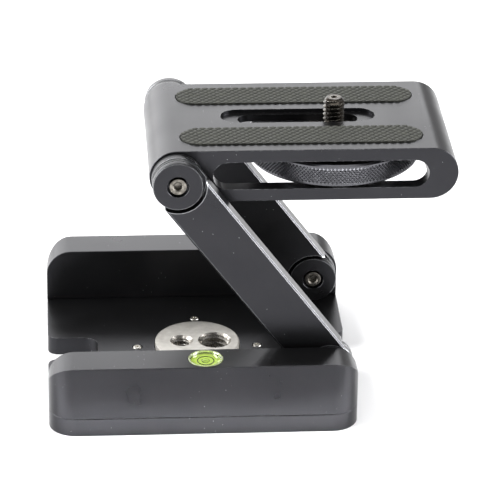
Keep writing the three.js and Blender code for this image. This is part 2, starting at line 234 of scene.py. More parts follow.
# ends a material with its shader, which takes what the nodes before it worked out
def finishMaterial(material, sockets):
    shader = addNode(material.node_tree, "ShaderNodeBsdfPrincipled", sockets)
    addNode(material.node_tree, "ShaderNodeOutputMaterial", {"Surface": shader})
    return material


def objectPlace(tree, centre=(0, 0, 0), stretch=(1, 1, 1)):
    return addNode(tree, "ShaderNodeMapping", {
        "Vector": addNode(tree, "ShaderNodeTexCoord", {}, "Object"),
        "Location": [-c * s for c, s in zip(centre, stretch)],
        "Scale": stretch,
    })


# a pattern's scale from its real size in mm
def perMetre(size):
    return 1 / (size * mm)


# lays colours over the first, each as thick as its mask
# a Mix node takes its colours at sockets 6 and 7 and gives one back at 2
def layered(tree, first, *layers):
    colour = linear(first)
    for mask, over in layers:
        colour = addNode(tree, "ShaderNodeMix", {0: mask, 6: colour, 7: linear(over)}, 2, data_type="RGBA")
    return colour


# up to most along the outer edges, from how far a rounded normal turns away from the flat one
def edgeMask(tree, radius, turnShares, most=1.0):
    along = addNode(tree, "ShaderNodeVectorMath", {
        0: addNode(tree, "ShaderNodeBevel", {"Radius": radius * mm}, samples=6),
        1: addNode(tree, "ShaderNodeNewGeometry", {}, "Normal"),
    }, "Value", operation="DOT_PRODUCT")
    low, high = turnShares
    return addNode(tree, "ShaderNodeMapRange", {
        "Value": along, "From Min": 1 - low, "From Max": 1 - high, "To Max": most,
    })


noiseSpan = {"From Min": 0.3, "From Max": 0.7}       # nearly all of a noise lies within it
middleSpan = {"From Min": 0.35, "From Max": 0.65}    # tighter, for patches with firmer borders
stainSpan = {"From Min": 0.35, "From Max": 0.7}      # leans to the lower values, for faint stains
upperSpan = {"From Min": 0.45, "From Max": 0.75}     # only the peaks
waveBands = 20    # a wave texture's rings are the sine of 20 times the scaled distance

anodisedLook = {
    # the pale edge colour is partly abrasion and partly a painted highlight along the chamfers
    "colour": "#303033", "cloud": "#353538", "edgeWearAndHighlight": "#c4c6c9", "fleck": "#eeeff2",
    "blastGrain": 0.22, "stain": 14.0, "scuff": 1.6, "fleckSpacing": 2.0, "fleckShares": (0.045, 0.027),
    "fleckStrength": 0.8, "dustyFrom": 0.47, "dustyTo": 0.53, "edgeTurn": (0.02, 0.18),
    "roughness": (0.27, 0.35), "bump": 0.05, "relief": 0.05, "coat": 0.18, "coatRoughness": 0.6,
}


# Aluminium, bead blasted and anodised black: a satin film that goes pale grey at a grazing look,
# with pale abraded patches along its edges, where a wide and even edge mask paints a highlight on the
# chamfers, and a few flecks of dust
def makeAnodised(name, edgeWearAndHighlightStrength=0.55, patches=(0.47, 0.62), edgeWidth=0.25, look=anodisedLook):
    material, tree = newMaterial(name)
    place = objectPlace(tree)
    grain = addNode(tree, "ShaderNodeTexNoise", {
        "Vector": place, "Scale": perMetre(look["blastGrain"]), "Detail": 2.0})
    stain = addNode(tree, "ShaderNodeTexNoise", {
        "Vector": place, "Scale": perMetre(look["stain"]), "Detail": 4.0})
    scuff = addNode(tree, "ShaderNodeTexNoise", {
        "Vector": place, "Scale": perMetre(look["scuff"]), "Detail": 6.0, "Roughness": 0.7})
    dust = addNode(tree, "ShaderNodeTexVoronoi", {"Vector": place, "Scale": perMetre(look["fleckSpacing"])})
    dusty = addNode(tree, "ShaderNodeMapRange", {
        "Value": stain, "From Min": look["dustyFrom"], "From Max": look["dustyTo"]})
    dots = addNode(tree, "ShaderNodeMapRange", {
        "Value": dust, "From Min": look["fleckShares"][0], "From Max": look["fleckShares"][1],
        "To Max": look["fleckStrength"]})
    flecks = addNode(tree, "ShaderNodeMath", {0: dots, 1: dusty}, operation="MULTIPLY")
    scuffed = addNode(tree, "ShaderNodeMapRange", {
        "Value": scuff, "From Min": patches[0], "From Max": patches[1], "To Max": edgeWearAndHighlightStrength})
    edges = edgeMask(tree, edgeWidth, look["edgeTurn"])
    # pale edges: abrasion in patches, and a painted highlight along the chamfers where the mask is wide and
    # even
    edgeWearAndHighlight = addNode(tree, "ShaderNodeMath", {0: edges, 1: scuffed}, operation="MULTIPLY")
    cloudy = addNode(tree, "ShaderNodeMapRange", {"Value": stain, **noiseSpan})
    low, high = look["roughness"]
    return finishMaterial(material, {
        "Base Color": layered(tree, look["colour"],
                              (cloudy, look["cloud"]), (flecks, look["fleck"]), (edgeWearAndHighlight, look["edgeWearAndHighlight"])),
        "Roughness": addNode(tree, "ShaderNodeMapRange", {
            "Value": stain, "To Min": low, "To Max": high, **noiseSpan}),
        "Normal": addNode(tree, "ShaderNodeBump", {
            "Strength": look["bump"], "Distance": look["relief"] * mm, "Height": grain}),
        "Metallic": 1.0, "Coat Weight": look["coat"], "Coat Roughness": look["coatRoughness"],
    })


turnedLook = {
    # the pale edge colour is a painted highlight along the chamfers
    "dull": "#8f8b84", "edge": "#dedbd4", "stain": 3.0, "stainStrength": 0.35,
    "ringSpacing": 2.0106, "bump": 0.12, "relief": 0.02,
    "roughness": (0.42, 0.5), "edgeWidth": 0.15, "edgeTurn": (0.03, 0.25), "edgeStrength": 0.4,
}


# Stainless steel faced on a lathe: fine rings round the middle draw the light out into soft fans, and a
# painted highlight runs along its edges
def makeTurnedSteel(name, colour, centre):
    material, tree = newMaterial(name)
    look = turnedLook
    rings = addNode(tree, "ShaderNodeTexWave", {
        "Vector": objectPlace(tree, centre, (1, 1, 0)), "Distortion": 0.6, "Detail": 2.0, "Detail Scale": 3.0,
        "Scale": 2 * math.pi * perMetre(look["ringSpacing"]) / waveBands,
    }, "Fac", wave_type="RINGS", rings_direction="SPHERICAL")
    stain = addNode(tree, "ShaderNodeTexNoise", {
        "Vector": objectPlace(tree), "Scale": perMetre(look["stain"]), "Detail": 4.0})
    stained = addNode(tree, "ShaderNodeMapRange", {
        "Value": stain, "To Max": look["stainStrength"], **stainSpan})
    # painted highlight along the edges
    edges = edgeMask(tree, look["edgeWidth"], look["edgeTurn"], look["edgeStrength"])
    low, high = look["roughness"]
    return finishMaterial(material, {
        "Base Color": layered(tree, colour, (stained, look["dull"]), (edges, look["edge"])),
        "Roughness": addNode(tree, "ShaderNodeMapRange", {"Value": rings, "To Min": low, "To Max": high}),
        "Normal": addNode(tree, "ShaderNodeBump", {
            "Strength": look["bump"], "Distance": look["relief"] * mm, "Height": rings}),
        "Metallic": 1.0,
    })


screwLook = {
    # the pale crest colour is a painted highlight
    "crestHighlightColour": "#dcd8d0", "stain": 1.1, "bump": 0.12, "relief": 0.03,
    "edgeWidth": 0.12, "edgeTurn": (0.03, 0.3),
}


# Machined screw steel, oiled: darker in random patches, with a painted highlight along the crests and edges
def makeScrewSteel(name, colour, dark, roughness=(0.24, 0.42), crestHighlight=0.6):
    material, tree = newMaterial(name)
    look = screwLook
    stain = addNode(tree, "ShaderNodeTexNoise", {
        "Vector": objectPlace(tree), "Scale": perMetre(look["stain"]), "Detail": 5.0})
    stained = addNode(tree, "ShaderNodeMapRange", {"Value": stain, **middleSpan})
    edges = edgeMask(tree, look["edgeWidth"], look["edgeTurn"], crestHighlight)
    low, high = roughness
    return finishMaterial(material, {
        "Base Color": layered(tree, colour, (stained, dark), (edges, look["crestHighlightColour"])),
        "Roughness": addNode(tree, "ShaderNodeMapRange", {
            "Value": stain, "To Min": low, "To Max": high, **noiseSpan}),
        "Normal": addNode(tree, "ShaderNodeBump", {
            "Strength": look["bump"], "Distance": look["relief"] * mm, "Height": stain}),
        "Metallic": 1.0,
    })


rubberLook = {
    # the crest colour paints light on the tops of the grip studs
    "root": "#1e1f1b", "crest": "#3e3f3a", "dust": "#5a5b53", "cloud": 2.4, "pore": 0.3,
    "crestFrom": 0.26, "crestTo": 0.02, "dustStrength": 0.3, "roughness": (0.62, 0.8),
    "bump": 0.3, "relief": 0.06, "specular": 0.4,
}


# Moulded nitrile rubber: dull, a little dusty in random patches, and painted lighter towards the tops of the
# grip studs, where the light falls
def makeRubber(name, topHeight):
    material, tree = newMaterial(name)
    look = rubberLook
    place = objectPlace(tree)
    # painted light: lighter by height towards the stud tops
    crest = addNode(tree, "ShaderNodeMapRange", {
        "Value": addNode(tree, "ShaderNodeSeparateXYZ", {"Vector": place}, "Z"),
        "From Min": topHeight - look["crestFrom"] * mm, "From Max": topHeight - look["crestTo"] * mm})
    cloud = addNode(tree, "ShaderNodeTexNoise", {
        "Vector": place, "Scale": perMetre(look["cloud"]), "Detail": 6.0})
    pore = addNode(tree, "ShaderNodeTexNoise", {
        "Vector": place, "Scale": perMetre(look["pore"]), "Detail": 3.0})
    dusty = addNode(tree, "ShaderNodeMapRange", {
        "Value": cloud, "To Max": look["dustStrength"], **upperSpan})
    low, high = look["roughness"]
    return finishMaterial(material, {
        "Base Color": layered(tree, look["root"], (crest, look["crest"]), (dusty, look["dust"])),
        "Roughness": addNode(tree, "ShaderNodeMapRange", {
            "Value": cloud, "To Min": low, "To Max": high, **noiseSpan}),
        "Normal": addNode(tree, "ShaderNodeBump", {
            "Strength": look["bump"], "Distance": look["relief"] * mm, "Height": pore}),
        "Specular IOR Level": look["specular"],
    })


polymerLook = {
    "colour": "#17181a", "cloud": "#242527", "patch": 2.0, "roughness": (0.4, 0.55),
    "bump": 0.15, "relief": 0.03,
}


# Acetal, as in the hinge washers: black, slightly waxy
def makePolymer(name):
    material, tree = newMaterial(name)
    look = polymerLook
    patch = addNode(tree, "ShaderNodeTexNoise", {
        "Vector": objectPlace(tree), "Scale": perMetre(look["patch"]), "Detail": 4.0})
    cloudy = addNode(tree, "ShaderNodeMapRange", {"Value": patch, **middleSpan})
    low, high = look["roughness"]
    return finishMaterial(material, {
        "Base Color": layered(tree, look["colour"], (cloudy, look["cloud"])),
        "Roughness": addNode(tree, "ShaderNodeMapRange", {
            "Value": patch, "To Min": low, "To Max": high, **noiseSpan}),
        "Normal": addNode(tree, "ShaderNodeBump", {
            "Strength": look["bump"], "Distance": look["relief"] * mm, "Height": patch}),
    })


acrylicLook = {
    "flowLine": "#ffffff", "flow": 1.5, "flowStrength": 0.25, "bump": 0.06, "relief": 0.03, "ior": 1.49,
}


# Cast acrylic: polished and clear, or tinted, with faint paler flow lines
def makeAcrylic(name, colour, transmission, roughness):
    material, tree = newMaterial(name)
    look = acrylicLook
    flow = addNode(tree, "ShaderNodeTexNoise", {
        "Vector": objectPlace(tree), "Scale": perMetre(look["flow"]), "Detail": 3.0})
    lines = addNode(tree, "ShaderNodeMapRange", {
        "Value": flow, "To Max": look["flowStrength"], **stainSpan})
    return finishMaterial(material, {
        "Base Color": layered(tree, colour, (lines, look["flowLine"])),
        "Roughness": addNode(tree, "ShaderNodeMapRange", {
            "Value": flow, "To Min": roughness, "To Max": roughness * 2, **noiseSpan}),
        "Normal": addNode(tree, "ShaderNodeBump", {
            "Strength": look["bump"], "Distance": look["relief"] * mm, "Height": flow}),
        "Transmission Weight": transmission, "IOR": look["ior"],
    })


spiritLook = {
    "rim": "#a9bf52", "heart": "#cfe978", "streak": "#c9ee4a",
    "reach": 4.6, "heartFrom": 0.0, "heartTo": 0.35, "cloud": 1.2, "streakStrength": 0.3,
    "roughness": (0.12, 0.25), "bump": 0.05, "relief": 0.03, "paintedGlow": 0.4,
}


# Dyed spirit in the level: lime green, paler in its middle, with a painted glow that stands in for the light
# coming through its pale cup
def makeSpirit(name, centre):
    material, tree = newMaterial(name)
    look = spiritLook
    depth = addNode(tree, "ShaderNodeTexGradient", {
        "Vector": objectPlace(tree, centre, (perMetre(look["reach"]),) * 3),
    }, "Fac", gradient_type="SPHERICAL")
    heart = addNode(tree, "ShaderNodeMapRange", {
        "Value": depth, "From Min": look["heartFrom"], "From Max": look["heartTo"]})
    cloud = addNode(tree, "ShaderNodeTexNoise", {
        "Vector": objectPlace(tree, centre), "Scale": perMetre(look["cloud"]), "Detail": 3.0})
    streaks = addNode(tree, "ShaderNodeMapRange", {
        "Value": cloud, "To Max": look["streakStrength"], **upperSpan})
    colour = layered(tree, look["rim"], (heart, look["heart"]), (streaks, look["streak"]))
    low, high = look["roughness"]
    return finishMaterial(material, {
        # painted glow, though the spirit is no lamp
        "Base Color": colour, "Emission Color": colour, "Emission Strength": look["paintedGlow"],
        "Roughness": addNode(tree, "ShaderNodeMapRange", {
            "Value": cloud, "To Min": low, "To Max": high, **noiseSpan}),
        "Normal": addNode(tree, "ShaderNodeBump", {
            "Strength": look["bump"], "Distance": look["relief"] * mm, "Height": cloud}),
    })


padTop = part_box("front_grip_pad")[1].z
knurlLook = dict(anodisedLook, colour="#56565a", cloud="#5f5f63", roughness=(0.26, 0.34))

blackAnodised = makeAnodised("blackAnodisedAluminium")
# for the arms and hinge discs: its wide, nearly even edge mask paints a highlight along the chamfers, with
# some abrasion
wornAndHighlightedAnodised = makeAnodised("edgeWornAndHighlightedAnodisedAluminium", edgeWearAndHighlightStrength=0.9, patches=(0.25, 0.4), edgeWidth=0.5)
knurlAnodised = makeAnodised("knurledAnodisedAluminium", edgeWearAndHighlightStrength=0.3, look=knurlLook)
facedSteel = makeTurnedSteel("facedStainlessSteel", "#d0cdc7", middleOf("tripod_insert"))
# paler steel with painted crest highlights, to paint light into the threaded holes
threadSteel = makeScrewSteel("threadSteelPaintedBright", "#dad6cf", "#8f8b84", roughness=(0.22, 0.34))
wheelFaceSteel = makeTurnedSteel("washerStainlessSteel", "#a09d97", middleOf("knurled_wheel"))
# the stud's crests take a strong painted highlight
studSteel = makeScrewSteel("studSteel", "#4e4942", "#24211e", roughness=(0.16, 0.28), crestHighlight=0.9)
pivotSteel = makeScrewSteel("pivotScrewSteel", "#908c84", "#5c5853")
tinySteel = makeScrewSteel("insertScrewSteel", "#dedbd5", "#a7a49d")
padRubber = makeRubber("nitrileRubber", padTop)
acetal = makePolymer("blackAcetal")
clearAcrylic = makeAcrylic("clearAcrylic", "#fbfdf4", transmission=1.0, roughness=0.02)
cupAcrylic = makeAcrylic("cupAcrylic", "#b4c189", transmission=0.5, roughness=0.12)
spirit = makeSpirit("dyedSpirit", middleOf("level_cup"))
ringInk = makePolymer("blackRingInk")
# dark ring at the bubble's edge: painted shade standing in for the dark rim that its meniscus shows
bubbleShade = makeAcrylic("bubbleEdgeShade", "#3f5a0c", transmission=0.2, roughness=0.1)
print("materials made")


# Milled pieces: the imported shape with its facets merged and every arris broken

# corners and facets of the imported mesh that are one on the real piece, and how sharp an arris is
milling = {"sameCorner": 0.002, "flatAngle": 0.4, "arrisAngle": 32}

# for each node, the piece's name, its body and the width of its broken arrises
milled = {
    "front_rail": ("frontRail", "base", 0.07),
    "rear_rail": ("rearRail", "base", 0.07),
    "base_plate": ("basePlate", "base", 0.07),
    "front_arm": ("frontArm", "arms", 0.1),
    "rear_arm": ("rearArm", "arms", 0.1),
    "camera_plate": ("cameraPlate", "plate", 0.07),
}


def makeMilled(node, name, body, edge):
    piece = bpy.data.objects.new(name, nodes[node].data.copy())
    piece.data.name = name
    bpy.context.scene.collection.objects.link(piece)
    openAll(piece)
    bpy.ops.mesh.remove_doubles(threshold=milling["sameCorner"] * mm)
    bpy.ops.mesh.dissolve_limited(angle_limit=math.radians(milling["flatAngle"]))
    bpy.ops.object.mode_set(mode="OBJECT")
    applyModifier(piece, "arris", "BEVEL", width=edge * mm, segments=2, limit_method="ANGLE",
                  angle_limit=math.radians(milling["arrisAngle"]), use_clamp_overlap=True)
    # the arms take the material whose edges carry a painted highlight
    material = wornAndHighlightedAnodised if body == "arms" else blackAnodised
    finishPiece(piece, body, material, [node], angle=milling["arrisAngle"])


for node, (name, body, edge) in milled.items():
    makeMilled(node, name, body, edge)
print("milled pieces done")


# Hinges: disc with hub, washer and socket screw, four times

hinge = {
    "hubRadius": 3.9, "holeRadius": 1.8, "thickness": 2.2, "backEdge": 0.15,
    "counterbore": 3.25, "counterboreDepth": 2.1, "counterboreEdge": 0.07,
    "rim": 0.5, "rimShares": (0.35, 0.22), "plainRing": 0.7, "plainSpare": 0.05,
}
pivotScrew = {
    "headRadius": 2.55, "headHeight": 1.6, "shankRadius": 1.5, "tipShare": 0.8, "tipLength": 0.3,
    "crown": 0.32, "crownEdge": 0.1, "socketRadius": 1.35, "socketDepth": 1.7,
    "leadShares": (0.8, 1.25), "leadDepth": 0.4, "leadRise": 0.05,
}
hinges = {
    "upper_front": ("upperFront", "plate", "-Y"),
    "upper_rear": ("upperRear", "plate", "+Y"),
    "lower_front": ("lowerFront", "base", "+Y"),
    "lower_rear": ("lowerRear", "base", "-Y"),
}


# the middle of a node's face towards -Y or +Y, and how deep the node reaches behind it
def outerFace(node, facing):
    low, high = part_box(node)
    middle = (low + high) / 2
    middle.y = low.y if facing == "-Y" else high.y
    return middle, (high.y - low.y) / mm


def discProfile(radius, depth):
    rim = hinge["rim"]
    inShare, downShare = hinge["rimShares"]
    back = -hinge["thickness"]
    return [
        (hinge["holeRadius"], -hinge["counterboreDepth"]),
        (hinge["counterbore"], -hinge["counterboreDepth"]),
        (hinge["counterbore"], -hinge["counterboreEdge"]),
        (hinge["counterbore"] + hinge["counterboreEdge"], 0),
        (hinge["counterbore"] + hinge["plainRing"], 0),
        (radius - rim, 0),
        (radius - rim * inShare, -rim * downShare),
        (radius, -rim),
        (radius, back + hinge["backEdge"]),
        (radius - hinge["backEdge"], back),
        (hinge["hubRadius"], back),
        (hinge["hubRadius"], -depth),
        (hinge["holeRadius"], -depth),
    ]


def makePivotScrew(name, depth):
    shank = pivotScrew["shankRadius"]
    head = pivotScrew["headRadius"]
    screw = turnPiece(name, [
        (shank * pivotScrew["tipShare"], -depth),
        (shank, -depth + pivotScrew["tipLength"]),
        (shank, -pivotScrew["headHeight"]),
        (head, -pivotScrew["headHeight"]),
        (head, -pivotScrew["crown"]),
        (head - pivotScrew["crownEdge"], -pivotScrew["crownEdge"]),
        (head - pivotScrew["crown"], 0),
    ], sides=48)
    inner, outer = (share * pivotScrew["socketRadius"] for share in pivotScrew["leadShares"])
    lead = turnPiece("socketLead", [
        (inner, -pivotScrew["leadDepth"]), (outer, pivotScrew["leadRise"]), (outer, cutterRise),
    ], sides=32)
    carve(screw, lead)
    return carve(screw, hexTool(pivotScrew["socketRadius"], pivotScrew["socketDepth"]))


# the face round the counterbore takes the plain anodised material, without the painted edge highlight of the
# disc
def withholdRingHighlight(disc, middle):
    disc.data.materials.append(blackAnodised)
    ring = (hinge["counterbore"] + hinge["plainRing"] + hinge["plainSpare"]) * mm
    for face in disc.data.polygons:
        corners = [disc.data.vertices[at].co for at in face.vertices]
        away = max(math.hypot(corner.x - middle.x, corner.z - middle.z) for corner in corners)
        face.material_index = int(away < ring)


for node, (name, body, facing) in hinges.items():
    discPlace, depth = outerFace(node + "_hinge_disc", facing)
    radius = roundSize(node + "_hinge_disc")[1] / 2    # it lies on its side, so its height is its diameter
    disc = turnPiece(name + "Disc", discProfile(radius, depth), sides=84, hollow=True)
    # the disc's material paints a highlight along its rims
    finishPiece(stand(disc, discPlace, facing), body, wornAndHighlightedAnodised, [node + "_hinge_disc"])
    withholdRingHighlight(disc, discPlace)
    screwPlace, length = outerFace(node + "_pivot_screw", facing)
    screw = makePivotScrew(name + "PivotScrew", length)
    finishPiece(stand(screw, screwPlace, facing), body, pivotSteel, [node + "_pivot_screw"])
    redress(node + "_hinge_washer", acetal)
print("hinges done")


# Threads: one tooth as an open line, wound up the Z axis and cut flat at both ends

thread = {"toothShares": (0, 0.12, 0.44, 0.56, 0.88, 1), "sameCorner": 0.001, "spareTurns": 2}


def threadBody(name, minor, major, pitch, bottom, top, steps=40):
    startFresh()
    bpy.ops.mesh.primitive_plane_add(size=1)
    piece = justAdded(name)
    openAll(piece)
    bpy.ops.mesh.select_mode(type="VERT")
    bpy.ops.mesh.select_all(action="SELECT")
    bpy.ops.mesh.merge(type="CENTER")
    # root, flank, crest, flank and root again, at shares of the pitch
    tooth = list(zip((minor, minor, major, major, minor, minor), thread["toothShares"]))
    bpy.ops.transform.translate(value=(minor * mm, 0, (bottom - pitch) * mm))
    for (radius, height), (nextRadius, nextHeight) in zip(tooth, tooth[1:]):
        step = ((nextRadius - radius) * mm, 0, (nextHeight - height) * pitch * mm)
        bpy.ops.mesh.extrude_vertices_move(TRANSFORM_OT_translate={"value": step})
    bpy.ops.object.mode_set(mode="OBJECT")
    turns = math.ceil((top - bottom) / pitch) + thread["spareTurns"]
    merge = thread["sameCorner"] * mm
    applyModifier(piece, "winding", "SCREW", axis="Z", angle=2 * math.pi, screw_offset=pitch * mm,
                  iterations=turns, steps=steps, render_steps=steps,
                  use_merge_vertices=True, merge_threshold=merge)
    openAll(piece)
    bpy.ops.mesh.remove_doubles(threshold=merge)
    for height, lower in ((bottom, True), (top, False)):
        bpy.ops.mesh.select_all(action="SELECT")
        bpy.ops.mesh.bisect(plane_co=(0, 0, height * mm), plane_no=(0, 0, 1), use_fill=True,
                            clear_inner=lower, clear_outer=not lower)
    closeOutwards()
    return piece


# Tripod insert: boss on a flange, with real threads cut through it

insert = {
    "flangeRadius": 21.5, "flange": 2.4, "flangeEdge": 0.15,
    "bossRadius": 13.0, "topEdge": 0.45, "topShare": 0.3, "faceDepth": 0.05,
    "screwHole": 1.15, "screwCircle": 18.5, "screwHoleTop": 4.0, "tapOverrun": 0.6,
    "mouthShare": 0.98, "mouthRise": 0.5, "underSpare": 0.7, "underDrop": 0.5, "underRise": 0.2,
}
threadedHoles = {
    "small": {"at": -4.85, "minor": 2.62, "major": 3.17, "pitch": 1.27, "mouth": 3.6},
    "large": {"at": 5.35, "minor": 4.02, "major": 4.76, "pitch": 1.5875, "mouth": 5.15},
}


def cutAt(body, tool, x, y=0):
    tool.location = (x * mm, y * mm, 0)
    carve(body, settle(tool))


# cuts one thread with its countersunk mouths, above and below
def cutThreadedHole(body, key, top):
    hole = threadedHoles[key]
    minor, major, mouth = hole["minor"], hole["major"], hole["mouth"]
    over = insert["tapOverrun"]
    cutAt(body, threadBody(key + "Tap", minor, major, hole["pitch"], -over, top + over), hole["at"])
    cutAt(body, turnPiece(key + "Mouth", [
        (minor * insert["mouthShare"], top - (mouth - minor)),
        (mouth + insert["mouthRise"], top + insert["mouthRise"]),
    ], sides=64), hole["at"])
    cutAt(body, turnPiece(key + "Under", [
        (major + insert["underSpare"], -insert["underDrop"]),
        (minor, major - minor + insert["underRise"]),
    ], sides=64), hole["at"])


# the threads and their mouths, below the faced top, take a paler steel with painted crest highlights, which
# paints light into the holes
def brightenThreads(body, top):
    body.data.materials.append(threadSteel)
    for face in body.data.polygons:
        for hole in threadedHoles.values():
            away = math.hypot(face.center.x / mm - hole["at"], face.center.y / mm)
            if away < hole["mouth"] and face.center.z / mm < top - insert["faceDepth"]:
                face.material_index = 1


def makeInsert():
    top = endOf("tripod_insert").z / mm
    flange, flangeEdge = insert["flangeRadius"], insert["flangeEdge"]
    boss, edge = insert["bossRadius"], insert["topEdge"]
    body = turnPiece("tripodInsert", [
        (flange - flangeEdge, 0),
        (flange, flangeEdge),
        (flange, insert["flange"]),
        (boss, insert["flange"]),
        (boss, top - edge),
        (boss - edge * insert["topShare"], top - edge * insert["topShare"]),
        (boss - edge, top),
    ], sides=128)
    for key in threadedHoles:
        cutThreadedHole(body, key, top)
    for turn in range(insertScrew["count"]):
        drill = turnPiece("drill", [
            (insert["screwHole"], -cutterRise), (insert["screwHole"], insert["screwHoleTop"]),
        ], sides=20)
        angle = 2 * math.pi * turn / insertScrew["count"]
        cutAt(body, drill, insert["screwCircle"] * math.cos(angle), insert["screwCircle"] * math.sin(angle))
    finishPiece(body, "base", facedSteel, ["tripod_insert"])
    brightenThreads(body, top)


# Insert and rail screws; a profile goes from the tip up the shank to the head's top

insertScrew = {
    "count": 4, "sides": 28, "socketRadius": 0.62, "socketDepth": 0.5,
    "profile": [
        (0.7, -5.3), (0.85, -5.1), (0.85, -0.8), (1.35, -0.8), (1.35, -0.35), (1.22, -0.12), (0.95, 0),
    ],
}
railScrew = {
    "count": 6, "sides": 40, "socketRadius": 1.45, "socketDepth": 1.4,
    "profile": [(1.2, -13.5), (1.5, -13.2), (1.5, -1.75), (2.9, -0.35), (2.9, -0.1), (2.8, 0)],
}


def makeScrews(screw, nodeName, pieceName, facing, material):
    for count in range(1, screw["count"] + 1):
        node = f"{nodeName}_{count}"
        piece = turnPiece(f"{pieceName}{count}", screw["profile"], sides=screw["sides"])
        carve(piece, hexTool(screw["socketRadius"], screw["socketDepth"]))
        finishPiece(stand(piece, endOf(node, facing), facing), "base", material, [node])


makeInsert()
makeScrews(insertScrew, "insert_screw", "insertScrew", "+Z", tinySteel)
makeScrews(railScrew, "rail_screw", "railScrew", "-Z", pivotSteel)
print("insert and screws done")


# Bubble level

level = {
    "wall": 0.45, "floor": 0.8, "rimEdge": 0.15, "clearance": 0.04, "axisHole": 0.01,
    "fluidFoot": 0.3, "fluidEdge": 0.2, "ringRadius": 2.4, "ringLine": 0.14,
    "bubble": 1.1, "bubbleShare": 0.22, "bubbleLine": 0.09, "lensEdge": 0.1, "dome": 0.12, "domeSteps": 8,
}


def levelTorus(name, radius, line, place, material, segments, lineSegments):
    startFresh()
    bpy.ops.mesh.primitive_torus_add(major_radius=radius * mm, minor_radius=line * mm,
                                     major_segments=segments, minor_segments=lineSegments, location=place)
    finishPiece(justAdded(name), "base", material)


def makeLevelCup(inner, top):
    radius, depth = roundSize("level_cup")
    edge = level["rimEdge"]
    floor = -depth + level["floor"]
    cup = turnPiece("levelCup", [
        (inner, floor), (inner, -edge), (inner + edge, 0), (radius - edge, 0), (radius, -edge),
        (radius, -depth), (level["axisHole"], -depth), (level["axisHole"], floor),
    ], hollow=True)
    finishPiece(stand(cup, top), "base", cupAcrylic, ["level_cup"])


def makeLevelFluid(radius, top):
    height = roundSize("level_fluid")[1]
    foot, edge = level["fluidFoot"], level["fluidEdge"]
    fluid = turnPiece("levelSpirit", [
        (radius - foot, -height), (radius, -height + foot), (radius, -edge), (radius - edge, 0),
    ])
    finishPiece(stand(fluid, top), "base", spirit, ["level_fluid"])


def makeBubble(place):
    startFresh()
    bpy.ops.mesh.primitive_uv_sphere_add(segments=32, ring_count=16, radius=level["bubble"] * mm,
                                         location=place)
    bubble = justAdded("levelBubble")
    bubble.scale.z = level["bubbleShare"]
    finishPiece(bubble, "base", clearAcrylic)


def makeLens(radius, top):
    height = roundSize("level_lens")[1]
    edge, dome, steps = level["lensEdge"], level["dome"], level["domeSteps"]
    profile = [(radius - edge, -height), (radius, -height + edge), (radius, -dome)]
    for step in range(1, steps):
        share = 1 - step / steps
        profile.append((radius * share, -dome * share ** 2))
    finishPiece(stand(turnPiece("levelLens", profile), top), "base", clearAcrylic, ["level_lens"])


def makeLevel():
    cupTop = endOf("level_cup")
    inner = roundSize("level_cup")[0] - level["wall"]
    filling = inner - level["clearance"]
    fluidTop = Vector((cupTop.x, cupTop.y, endOf("level_fluid").z))
    makeLevelCup(inner, cupTop)
    makeLevelFluid(filling, fluidTop)
    levelTorus("levelRing", level["ringRadius"], level["ringLine"], fluidTop, ringInk, 64, 10)
    makeBubble(fluidTop)
    # dark ring paints the shade round the bubble's edge
    levelTorus("bubbleEdge", level["bubble"], level["bubbleLine"], fluidTop, bubbleShade, 40, 8)
    makeLens(filling, Vector((cupTop.x, cupTop.y, endOf("level_lens").z)))


makeLevel()
print("level done")


# Knurled wheel

wheel = {
    "bore": 3.47, "headBore": 5.3, "headSeat": 2.5, "web": 1.0,
    "rimWidth": 4.0, "rimSlope": 1.0, "edge": 0.55,
    "washerRadius": 9.0, "washerEdge": 0.2, "washerSink": 0.15,
    "knurlDepth": 0.42, "knurlSink": 0.12, "knurlsRound": 140, "knurlHeight": 1.2, "crestShare": 0.2,
}


# one pointed stud of the knurl, left open in edit mode and all selected, ready to be spun
def knurlCell(radius):
    half = math.pi * radius / wheel["knurlsRound"]
    startFresh()
    bpy.ops.mesh.primitive_circle_add(vertices=4, radius=1, fill_type="NGON",
                                      rotation=(math.radians(90), 0, math.radians(90)))
    cell = justAdded("knurlCell")
    cell.scale = (half * mm, wheel["knurlHeight"] / 2 * mm, mm)
    root = radius - wheel["knurlDepth"] - wheel["knurlSink"]
    cell.location = (root * mm, 0, 0)
    settle(cell)
    openAll(cell)
    bpy.ops.mesh.extrude_region_move(TRANSFORM_OT_translate={"value": ((radius - root) * mm, 0, 0)})
    crest = wheel["crestShare"]
    bpy.ops.transform.resize(value=(1, crest, crest), center_override=(radius * mm, 0, 0))
    bpy.ops.mesh.select_all(action="SELECT")
    bpy.ops.mesh.normals_make_consistent(inside=False)
    return cell


def wheelBody(radius, height):
    core = radius - wheel["knurlDepth"]
    edge = wheel["edge"]
    seat = -height + wheel["headSeat"]
    web = -height + wheel["web"]
    rimInner = radius - wheel["rimWidth"]
    washer, sink = wheel["washerRadius"], wheel["washerSink"]
    return turnPiece("knurledWheel", [
        (wheel["bore"], seat), (wheel["headBore"], seat), (wheel["headBore"], web),
        (rimInner - wheel["rimSlope"], web), (rimInner, -height),
        (core - edge, -height), (core, -height + edge), (core, -edge), (core - edge, 0),
        (washer + wheel["washerEdge"], 0), (washer, -sink), (wheel["bore"], -sink),
    ], sides=144, hollow=True)


